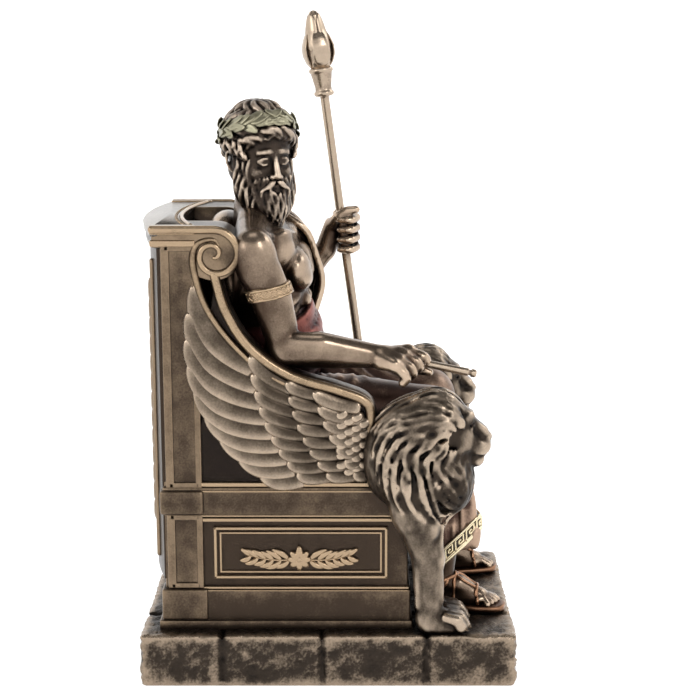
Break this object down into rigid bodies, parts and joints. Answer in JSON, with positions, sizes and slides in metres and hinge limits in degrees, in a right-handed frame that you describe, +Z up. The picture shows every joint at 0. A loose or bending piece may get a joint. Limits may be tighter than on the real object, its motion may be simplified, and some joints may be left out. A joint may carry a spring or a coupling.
{
  "type": "seated two-faced god figurine",
  "caption": "Cast bronze-look figurine of a two-faced god with laurel wreath, staff and key, seated on a throne with winged lion arms on a rough stone plinth.",
  "frame": {"origin": "centre of the plinth's underside", "axes": "+Z up, the seated figure faces -Y, and its right side is towards -X"},
  "size_m": [0.0996, 0.1381, 0.2403],
  "materials": {
    "bronze": "dark patinated bronze, rubbed bright on the high places",
    "gilt_bronze": "satin golden brown bronze"
  },
  "bodies": {
    "root": {"statue": "bronze", "staff": "gilt_bronze", "key": "gilt_bronze"}
  },
  "joints": []
}
